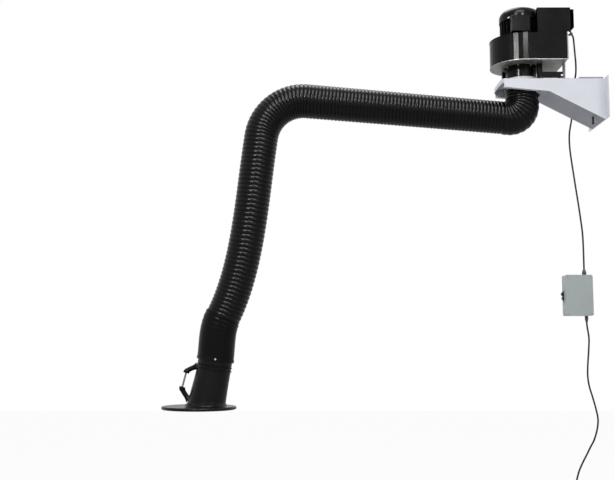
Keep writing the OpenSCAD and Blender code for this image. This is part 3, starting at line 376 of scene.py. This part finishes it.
def lead(name, route, node):
    points = [on_route(route, k / LEAD_STEPS) for k in range(LEAD_STEPS + 1)]
    curve = bpy.data.curves.new(name, "CURVE")
    curve.dimensions = "3D"
    curve.bevel_depth = LEAD_D / 2
    curve.bevel_resolution = 4
    curve.use_fill_caps = True
    spline = curve.splines.new("POLY")
    spline.points.add(LEAD_STEPS)
    for point, p in zip(spline.points, points):
        point.co = (*p, 1)
    piece = bpy.data.objects.new(name, curve)
    bpy.context.scene.collection.objects.link(piece)
    add_piece(piece, "bracket", "lead_black")
    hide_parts(node)


lead("upper_cable", UPPER_ROUTE, "upper_lead")
lead("lower_cable", LOWER_ROUTE, "lower_lead")

# Hoses
HOSE_SIDES = 64
RIB_STEPS = 8
RIB_EASE = 0.55
GROOVE_ANGLE = 50


def ribbed(name, ribs, centre_at, bulge=lambda t: 0.0, spread=lambda t: HOSE_SPREAD):
    """A ribbed tube with its bore; centre_at gives centre and heading at a share of its length."""
    outer, inner = [], []
    total = ribs * RIB_STEPS
    for k in range(total + 1):
        t = k / total
        centre, heading = centre_at(t)
        wave = abs(math.sin(math.pi * (k % RIB_STEPS) / RIB_STEPS)) ** RIB_EASE
        r = HOSE_VALLEY + (HOSE_CREST - HOSE_VALLEY) * wave + spread(t)
        bore = HOSE_BORE + spread(t)
        outer.append(ring(centre, heading, r + bulge(t), HOSE_SIDES, r))
        if k % RIB_STEPS == 0:
            inner.append(ring(centre, heading, bore + bulge(t), HOSE_SIDES, bore))
    piece = loft(name, outer + inner[::-1], closed=True)
    soften(piece, GROOVE_ANGLE)
    return piece


down = HOSE_TOP_Z - fold_c[1]
fold_len = math.radians(fold_turn) * fold_centre_r
straight_ribs = round(down / RIB_PITCH)
fold_ribs = round(fold_len / RIB_PITCH)
straight_share = straight_ribs / (straight_ribs + fold_ribs)


def fold_bulge(t):
    if t <= straight_share:
        return 0.0
    return FOLD_BULGE * math.sin(math.pi * (t - straight_share) / (1 - straight_share)) / 2


def shoulder_path(t):
    if t <= straight_share:
        return (SWIVEL_X, HOSE_TOP_Z - down * t / straight_share), -90
    a = -fold_turn * (t - straight_share) / (1 - straight_share)
    return add(fold_c, unit(a), fold_centre_r + fold_bulge(t)), a - 90


def inner_path_at(t):
    return add(inner_start, inner_dir, GAP + (INNER_LEN - GAP) * t), inner_heading


def elbow_path(t):
    a = 90 - INNER_RISE + elbow_turn * t
    return add(elbow_c, unit(a), ELBOW_R), a + 90


def outer_path_at(t):
    return bezier(outer_path, t), bezier_slope(outer_path, t)


shoulder_hose = ribbed("shoulder_hose", straight_ribs + fold_ribs, shoulder_path, fold_bulge,
                       lambda t: 0.0)
paint(shoulder_hose, "hose_black")
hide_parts("hose_shoulder")
# The fold's bend is slanted, so that the collar's whole ring stays and the last ring follows whole
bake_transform(shoulder_hose)

inner_hose = ribbed("inner_hose", round(INNER_LEN / RIB_PITCH), inner_path_at,
                    spread=lambda t: HOSE_SPREAD * t)
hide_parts("hose_inner")

elbow_ribs = round(math.radians(elbow_turn) * ELBOW_R / RIB_PITCH)
elbow_hose = ribbed("elbow_hose", elbow_ribs, elbow_path)
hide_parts("hose_elbow")

outer_ribs = round(math.hypot(OUTER_RUN, OUTER_DROP) / HANG_PITCH)
outer_hose = ribbed("outer_hose", outer_ribs, outer_path_at)
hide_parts("hose_outer")
for piece in (inner_hose, elbow_hose, outer_hose):
    paint(piece, "hose_black")
    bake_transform(piece)

# Smooth sleeve between the hose and the hood's neck, with shallow ribs near its top
sleeve_foot = add(hood_pivot, neck_dir, COLLAR_SHOW)
sleeve_path = [add(outer_end, end_back, SLEEVE_LAP),
               add(outer_end, end_back, SLEEVE_LAP - SLEEVE_PULL),
               add(sleeve_foot, neck_dir, -SLEEVE_PULL), sleeve_foot]
SLEEVE_STEPS = 96
SLEEVE_RIB = 0.0011
SLEEVE_RIBS = 10
SLEEVE_RIBS_END = 0.4
SLEEVE_FLARE = (1 / 6, 1 / 2)
SEAM_HALF = math.radians(2.6)
SEAM_PROUD = 0.0016
SEAM_SUNK = 0.001
SEAM_EDGE = 0.0007


def sleeve_share(t):
    """How far the sleeve has widened from its lip to its full size."""
    return min(1, max(0, (t - SLEEVE_FLARE[0]) / (SLEEVE_FLARE[1] - SLEEVE_FLARE[0])))


def sleeve_station(t):
    """Centre, heading and outer radius at a share of the sleeve's length."""
    r = SLEEVE_LIP_R + (SLEEVE_R - SLEEVE_LIP_R) * sleeve_share(t)
    return bezier(sleeve_path, t), bezier_slope(sleeve_path, t), r


outer, inner, strips = [], [], []
for k in range(SLEEVE_STEPS + 1):
    t = k / SLEEVE_STEPS
    centre, heading, r = sleeve_station(t)
    fade = max(0, 1 - t / SLEEVE_RIBS_END)
    ribs = SLEEVE_RIB * fade * math.cos(2 * math.pi * t * SLEEVE_RIBS)
    wall = SLEEVE_LIP_WALL + (SLEEVE_WALL - SLEEVE_LIP_WALL) * sleeve_share(t)
    outer.append(ring(centre, heading, r + ribs, HOSE_SIDES))
    inner.append(ring(centre, heading, r - wall, HOSE_SIDES))
    # The lapped seam runs down the front
    head = math.radians(heading)
    corners = ((-SEAM_HALF, -SEAM_SUNK), (-SEAM_HALF, SEAM_PROUD),
               (SEAM_HALF, SEAM_PROUD), (SEAM_HALF, -SEAM_SUNK))
    strips.append([(centre[0] - (r + lift) * math.cos(side - math.pi / 2) * math.sin(head),
                    (r + lift) * math.sin(side - math.pi / 2),
                    centre[1] + (r + lift) * math.cos(side - math.pi / 2) * math.cos(head))
                   for side, lift in corners])
sleeve = loft("smooth_sleeve", outer + inner[::-1], closed=True)
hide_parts("sleeve")
seam = loft("sleeve_seam", strips, caps=True)
round_edges(seam, SEAM_EDGE)
for piece in (sleeve, seam):
    paint(piece, "sleeve_black")
    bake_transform(piece)

# Hood: one skin down the neck, out over the flange, round its rim and back up inside
HOOD_SIDES = 96
NECK_STEPS = 40
BODY_STEPS = 24
FILLET_STEPS = 6
RIM_STEPS = 8
EDGE_STEPS = 12
RIM_DISH = 0.0015
# Shares of the way down, of the way across, and of the neck's radius
HOOD_SHARES = [(0, 0, 0.99), (0.3, 0.3, 1.02), (0.6, 0.6, 1.06), (0.9, 0.9, 1.11),
               (1, 1, MOUTH_R / NECK_R)]
RIDGE_H = 0.0045
RIDGES = [(0.134, 0.140), (0.150, 0.157)]
FILLET = 0.010


def hood_station(t):
    """Centre, heading and radius at a share of the way from the neck's end to the mouth."""
    k = max(i for i in range(len(HOOD_SHARES) - 1) if HOOD_SHARES[i][0] <= t)
    a, b = HOOD_SHARES[k], HOOD_SHARES[k + 1]
    u = (t - a[0]) / (b[0] - a[0])
    across, size = (a[i] + (b[i] - a[i]) * u for i in (1, 2))
    top, foot = neck_end, (mouth_c[0], rim_z + RIM_T)
    centre = (top[0] + across * (foot[0] - top[0]), top[1] + t * (foot[1] - top[1]))
    return centre, -90 - NECK_LEAN * (1 - t), NECK_R * size


def ridge(s):
    """How far a ridge stands off the neck at a distance below the pivot."""
    lift = 0.0
    for low, high in RIDGES:
        if low < s < high:
            lift = RIDGE_H * min(1, 4 * min(s - low, high - s) / (high - low))
    return lift


skin, lining = [], []
for k in range(NECK_STEPS + 1):
    s = NECK_TOP + (NECK_FOOT - NECK_TOP) * k / NECK_STEPS
    centre = add(hood_pivot, neck_dir, s)
    skin.append(ring(centre, -90 - NECK_LEAN, NECK_R + ridge(s), HOOD_SIDES))
    if k in (0, NECK_STEPS):
        lining.append(ring(centre, -90 - NECK_LEAN, NECK_R - HOOD_WALL, HOOD_SIDES))
for k in range(1, BODY_STEPS):
    centre, heading, r = hood_station(k / BODY_STEPS)
    if centre[1] > rim_z + RIM_T + FILLET:
        skin.append(ring(centre, heading, r, HOOD_SIDES))
    lining.append(ring(centre, heading, r - HOOD_WALL, HOOD_SIDES))
for k in range(FILLET_STEPS + 1):
    a = math.radians(90 * k / FILLET_STEPS)
    skin.append(ring((mouth_c[0], rim_z + RIM_T + FILLET * (1 - math.sin(a))), -90,
                     MOUTH_R + FILLET * (1 - math.cos(a)), HOOD_SIDES))
rim_mid = RIM_R - RIM_T / 2
rim_c = mouth_c[0] - RIM_SHIFT
for k in range(1, RIM_STEPS + 1):
    u = k / RIM_STEPS
    dish = RIM_DISH * math.sin(math.pi * u)
    skin.append(ring((mouth_c[0] - RIM_SHIFT * u, rim_z + RIM_T - dish), -90,
                     MOUTH_R + FILLET + (rim_mid - MOUTH_R - FILLET) * u, HOOD_SIDES))
for k in range(1, EDGE_STEPS):
    a = math.radians(90 - 180 * k / EDGE_STEPS)
    skin.append(ring((rim_c, rim_z + RIM_T / 2 + RIM_T / 2 * math.sin(a)), -90,
                     rim_mid + RIM_T / 2 * math.cos(a), HOOD_SIDES))
for k in range(RIM_STEPS + 1):
    u = k / RIM_STEPS
    skin.append(ring((rim_c + RIM_SHIFT * u, rim_z), -90,
                     rim_mid + (MOUTH_R - HOOD_WALL - rim_mid) * u, HOOD_SIDES))
hood_shell = loft("hood_shell", skin + lining[::-1], closed=True)
soften(hood_shell, 30)
add_piece(hood_shell, "hood", "hood_black")
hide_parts("hood_body")

# Handle: two arms from the hood to the rod's ends
ARM_TOP_AT = (0.0045, 0.021)
ARM_TOP_RUN = (-0.053, -0.020)
ROD_RUN = (-0.025, -0.096)
ARM_FOOT_RUN = (0.039, -0.052)
ARM_SOCKET = 0.014
ARM_STEPS = 28
ARM_SIDES = 32
KNEE_SHARE = 0.62
ROOT_FLARE = 0.007
FLARE_SHARE = 0.25
ARM_BLOCK = 0.0028
BLOCK_FROM = 0.6
BLOCK_RAMP = 0.15
END_TRIM = 0.0015
arm_top = add(neck_end, (ARM_TOP_AT[0] - NECK_R, ARM_TOP_AT[1]))
rod_top = add(arm_top, ARM_TOP_RUN)
rod_foot = add(rod_top, ROD_RUN)
arm_foot = add(rod_foot, ARM_FOOT_RUN)


def handle_arm(name, root, end, toward):
    """An arm from the hood to one end of the rod, with its tip turned to the rod's other end."""
    away = (toward[0] - end[0], toward[1] - end[1])
    tip = add(end, away, ARM_SOCKET / math.hypot(*away))
    path = [root, add(root, (end[0] - root[0], end[1] - root[1]), KNEE_SHARE), end, tip]
    rings = []
    for k in range(ARM_STEPS + 1):
        t = k / ARM_STEPS
        flare = ROOT_FLARE * max(0, 1 - t / FLARE_SHARE) ** 2
        block = ARM_BLOCK * min(1, max(0, (t - BLOCK_FROM) / BLOCK_RAMP))
        trim = END_TRIM if k == ARM_STEPS else 0.0
        r = HANDLE_ARM_R + flare + block - trim
        rings.append(ring(bezier(path, t), bezier_slope(path, t), r, ARM_SIDES))
    piece = loft(name, rings, caps=True)
    soften(piece, 45)
    add_piece(piece, "hood", "hood_black")


handle_arm("handle_arm_top", arm_top, rod_top, rod_foot)
handle_arm("handle_arm_foot", arm_foot, rod_foot, rod_top)

# The frame's own nodes: finish and rounded edges
FINISH = {
    "bracket_white": ["wall_plate", "side_panel_front", "side_panel_back", "deck_plate"],
    # Painted shade: the top cover and slanted bottom take the darker copy of the bracket paint
    "bracket_grey": ["slanted_bottom", "top_cover"],
    "collar_grey": ["deck_collar", "outlet_flange", "outlet_foot"],
    "galvanised": ["scroll_bottom"],
    "fan_black": ["fan_spigot", "scroll_wrap", "scroll_top", "foot_rails", "motor_frame",
                  "drive_shield", "fan_cowl", "terminal_box", "terminal_lid", "starter_box",
                  "starter_lid", "sleeve_clamp"],
    "rubber": ["rubber_feet"],
    "hood_black": ["neck_collar"],
    "steel": ["rear_shield", "motor_shaft", "motor_bearings", "shoulder_pin", "elbow_pin",
              "hood_pin", "top_clamp", "cooling_fan"],
    "frame_steel": ["swivel_tube", "shoulder_yoke", "inner_link", "outer_link", "hood_knuckle",
                    "hood_spider", "stator_core", "rotor_core", "impeller"],
    "slip_plastic": ["slip_ring"],
    "disc_lining": ["shoulder_discs", "elbow_discs"],
    "handle_white": ["handle_rod"],
    "box_grey": ["control_box", "control_lid"],
    "gland_grey": ["box_glands", "starter_gland"],
    "lead_black": ["mains_plug", "cable_hook"],
    "switch_black": ["box_rocker"],
}
EDGE = {"control_box": 0.0015, "control_lid": 0.003, "starter_lid": 0.003, "starter_box": 0.0015,
        "terminal_lid": 0.002, "terminal_box": 0.001, "mains_plug": 0.001, "top_cover": 0.002,
        "outlet_flange": 0.0008, "foot_rails": 0.001, "box_rocker": 0.001, "deck_plate": 0.0006,
        "side_panel_front": 0.0006, "side_panel_back": 0.0006, "wall_plate": 0.001,
        "deck_collar": 0.001, "fan_cowl": 0.0006, "outlet_foot": 0.0005, "slanted_bottom": 0.0006,
        "scroll_top": 0.0007, "scroll_bottom": 0.0007, "sleeve_clamp": 0.0008, "handle_rod": 0.0005}
for slot, names in FINISH.items():
    for name in names:
        node = NODES[name]
        paint(node, slot)
        soften(node)
        if name in EDGE:
            round_edges(node, EDGE[name])

# Fasteners: hex heads on washers, with shares of the head's radius
WASHER_T = 0.3
WASHER_R = 1.5
HEAD_TOP = 1.1
HEX_EDGE = 0.08
FRONT = (0, -1, 0)


def hex_screw(name, place, facing, r, body="bracket", slot="steel"):
    out = Vector(facing).normalized()
    base = Vector(place)
    washer_top = base + out * r * WASHER_T
    washer = cylinder(name + "_washer", base, washer_top, r * WASHER_R, bevel=r * HEX_EDGE)
    head = cylinder(name, washer_top, base + out * r * HEAD_TOP, r, sides=6)
    round_edges(head, r * HEX_EDGE)
    head.data.shade_flat()
    for piece in (washer, head):
        add_piece(piece, body, slot)


CLAMP_SCREW_R = 0.0032
CLAMP_SCREW_SHIFT = 0.009
CLAMP_SCREW_SUNK = 0.0006
clamp_low, clamp_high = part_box("sleeve_clamp")
clamp_spot = ((clamp_low[0] + clamp_high[0]) / 2 + CLAMP_SCREW_SHIFT,
              clamp_low[1] + CLAMP_SCREW_SUNK, (clamp_low[2] + clamp_high[2]) / 2)
hex_screw("clamp_screw", clamp_spot, FRONT, CLAMP_SCREW_R, body="hood_mount")

FLANGE_SCREW_R = 0.004
FLANGE_SCREW_IN = 0.004
FLANGE_SCREW_DOWN = 0.010
flange_low, flange_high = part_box("outlet_flange")
flange_spot = (flange_low[0] + FLANGE_SCREW_IN, flange_low[1], flange_high[2] - FLANGE_SCREW_DOWN)
hex_screw("flange_screw", flange_spot, FRONT, FLANGE_SCREW_R)

RAIL_BOLT_R = 0.0035
RAIL_BOLT_IN = 0.006
RAIL_BOLT_UP = 0.009
rail_low, rail_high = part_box("foot_rails")
rail_spot = (rail_high[0] - RAIL_BOLT_IN, rail_low[1], rail_low[2] + RAIL_BOLT_UP)
hex_screw("rail_bolt", rail_spot, FRONT, RAIL_BOLT_R)

COWL_SCREWS = 4
COWL_SCREW_R = 0.0035
COWL_SCREW_UP = 0.006
cowl_low, cowl_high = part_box("fan_cowl")
cowl_r = (cowl_high[0] - cowl_low[0]) / 2
for k in range(COWL_SCREWS):
    out = (*unit(45 + 360 * k / COWL_SCREWS), 0)
    spot = (SWIVEL_X + cowl_r * out[0], cowl_r * out[1], cowl_low[2] + COWL_SCREW_UP)
    hex_screw(f"cowl_screw_{k}", spot, out, COWL_SCREW_R)

STUDS = 8
STUD_CIRCLE = 0.113
STUD_TURN = -85
STUD_R = 0.003
STUD_H = 0.012
STUD_EDGE = 0.0005
NUT_R = 0.0045
casing_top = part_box("scroll_top")[1][2]
for k in range(STUDS):
    x, y = unit(STUD_TURN + 360 * k / STUDS)
    spot = (SWIVEL_X + STUD_CIRCLE * x, STUD_CIRCLE * y, casing_top)
    stud_top = (spot[0], spot[1], spot[2] + STUD_H)
    stud = cylinder(f"motor_stud_{k}", spot, stud_top, STUD_R, bevel=STUD_EDGE)
    add_piece(stud, "bracket", "steel")
    hex_screw(f"motor_nut_{k}", stud_top, (0, 0, 1), NUT_R)

SPIGOT_SCREWS = 8
SPIGOT_CIRCLE = 0.0845
SPIGOT_LIP = 0.006
SPIGOT_SCREW_R = 0.0035
casing_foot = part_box("scroll_wrap")[0][2]
for k in range(SPIGOT_SCREWS):
    x, y = unit(22.5 + 360 * k / SPIGOT_SCREWS)
    spot = (SWIVEL_X + SPIGOT_CIRCLE * x, SPIGOT_CIRCLE * y, casing_foot - SPIGOT_LIP)
    hex_screw(f"spigot_screw_{k}", spot, (0, 0, -1), SPIGOT_SCREW_R)

# The nut on the starter's gland, where the upper lead leaves it
GLAND_NUT_AT = (-0.1535, -0.056, 0.3750)
GLAND_NUT_T = 0.005
GLAND_NUT_R = 0.0105
GLAND_NUT_EDGE = 0.0006
nut_axis = Vector((1, 0, -1)).normalized()
nut_start = Vector(GLAND_NUT_AT)
nut = cylinder("gland_nut", nut_start, nut_start + nut_axis * GLAND_NUT_T, GLAND_NUT_R, sides=6)
round_edges(nut, GLAND_NUT_EDGE)
add_piece(nut, "bracket", "steel")

LID_SCREW_R = 0.003
LID_SCREW_IN = 0.010
LID_SCREW_SUNK = 0.001
lid_low, lid_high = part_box("control_lid")
for i, x in enumerate((lid_low[0] + LID_SCREW_IN, lid_high[0] - LID_SCREW_IN)):
    for j, z in enumerate((lid_low[2] + LID_SCREW_IN, lid_high[2] - LID_SCREW_IN)):
        spot = (x, lid_low[1] + LID_SCREW_SUNK, z)
        hex_screw(f"lid_screw_{i}{j}", spot, FRONT, LID_SCREW_R, slot="box_grey")

# Floor, backdrop and light
FLOOR_DROP = 0.5
FLOOR_CORNERS = ((-14, -9), (11, -9), (11, 14), (-14, 14))
FLOOR_GLOW = 0.93
WORLD_LIGHT = 0.55
floor_z = cad_box[0][2] - FLOOR_DROP
floor_mesh = mesh_object("floor", [(x, y, floor_z) for x, y in FLOOR_CORNERS], [(0, 1, 2, 3)])
floor_finish = surface("floor", (0.86, 0.86, 0.86), 0.7, vary=0.01, bump=0.02)
floor_mesh.data.materials.append(floor_finish)
floor_tree = floor_finish.node_tree
floor_paths = floor_tree.nodes.new("ShaderNodeLightPath")
floor_share = floor_tree.nodes.new("ShaderNodeMath")
floor_share.operation = "MULTIPLY"
floor_share.inputs[1].default_value = FLOOR_GLOW
floor_tree.links.new(floor_paths.outputs["Is Camera Ray"], floor_share.inputs[0])
floor_glow = floor_tree.nodes.new("ShaderNodeEmission")
floor_mix = floor_tree.nodes.new("ShaderNodeMixShader")
floor_tree.links.new(floor_share.outputs["Value"], floor_mix.inputs["Fac"])
floor_tree.links.new(floor_tree.nodes["Principled BSDF"].outputs["BSDF"], floor_mix.inputs[1])
floor_tree.links.new(floor_glow.outputs["Emission"], floor_mix.inputs[2])
floor_out = floor_tree.nodes["Material Output"]
floor_tree.links.new(floor_mix.outputs["Shader"], floor_out.inputs["Surface"])

# The world is white to the camera and in reflections, and dimmer as light
world = bpy.data.worlds.new("studio")
bpy.context.scene.world = world
world.use_nodes = True
world_tree = world.node_tree
paths = world_tree.nodes.new("ShaderNodeLightPath")
seen = world_tree.nodes.new("ShaderNodeMath")
seen.operation = "MAXIMUM"
world_tree.links.new(paths.outputs["Is Camera Ray"], seen.inputs[0])
world_tree.links.new(paths.outputs["Is Glossy Ray"], seen.inputs[1])
strength = world_tree.nodes.new("ShaderNodeMapRange")
strength.inputs["To Min"].default_value = WORLD_LIGHT
strength.inputs["To Max"].default_value = 1.0
world_tree.links.new(seen.outputs["Value"], strength.inputs["Value"])
back = world_tree.nodes["Background"]
back.inputs["Color"].default_value = (1, 1, 1, 1)
world_tree.links.new(strength.outputs["Result"], back.inputs["Strength"])


def lamp(name, place, size, power, gloss_only=False):
    """A round lamp aimed at the arm's middle; power is in watts."""
    data = bpy.data.lights.new(name, "AREA")
    data.shape = "DISK"
    data.size = size
    data.energy = power
    light = bpy.data.objects.new(name, data)
    light.location = place
    light.visible_diffuse = not gloss_only
    light.rotation_euler = (Vector(MIDDLE) - Vector(place)).to_track_quat("-Z", "Y").to_euler()
    bpy.context.scene.collection.objects.link(light)


MIDDLE = (-1.2, 0, -0.7)
lamp("key", (-3.2, -4.2, 2.6), 1.0, 75)
lamp("fill", (1.8, -4.5, 0.6), 2.2, 30)
lamp("top", (-1.2, 1.2, 3.2), 2.0, 60)
lamp("sheen", (-1.0, -2.4, 3.0), 2.6, 190, gloss_only=True)
lamp("spark_left", (-2.9, -4.0, 1.5), 0.5, 90, gloss_only=True)
lamp("spark_right", (-0.2, -4.2, 1.9), 0.5, 60, gloss_only=True)

bpy.context.scene.view_settings.view_transform = "Standard"
